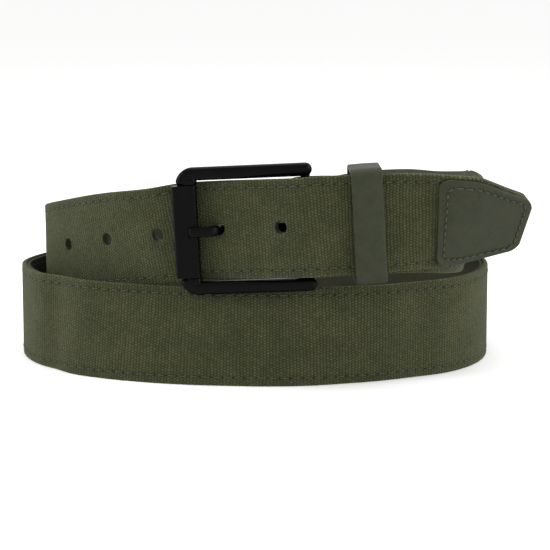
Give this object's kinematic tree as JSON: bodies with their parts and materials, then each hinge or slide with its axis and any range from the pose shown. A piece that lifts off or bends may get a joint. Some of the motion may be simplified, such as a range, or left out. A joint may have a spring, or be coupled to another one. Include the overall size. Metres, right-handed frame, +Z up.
{
  "type": "canvas web belt",
  "caption": "Canvas web belt with a leather lining, black prong buckle, leather keeper and tapered leather tip, fastened and coiled, standing on its edge.",
  "frame": {"origin": "middle of the belt's bounding box, on the ground that the lower turn stands on", "axes": "+X to the right along the buckled front, +Y from the buckled front to the back of the coil, +Z up"},
  "size_m": [0.2044, 0.1912, 0.0866],
  "materials": {
    "canvas": "ribbed olive cotton webbing",
    "lining": "matt dark lining",
    "leather_trim": "semi-matt olive leather",
    "buckle": "satin black"
  },
  "bodies": {
    "root": {"canvas_strap": "canvas", "strap_lining": "lining", "tip_patch": "leather_trim", "keeper_loop": "leather_trim", "buckle_frame": "buckle", "buckle_sleeve": "buckle", "buckle_prong": "buckle"}
  },
  "joints": []
}
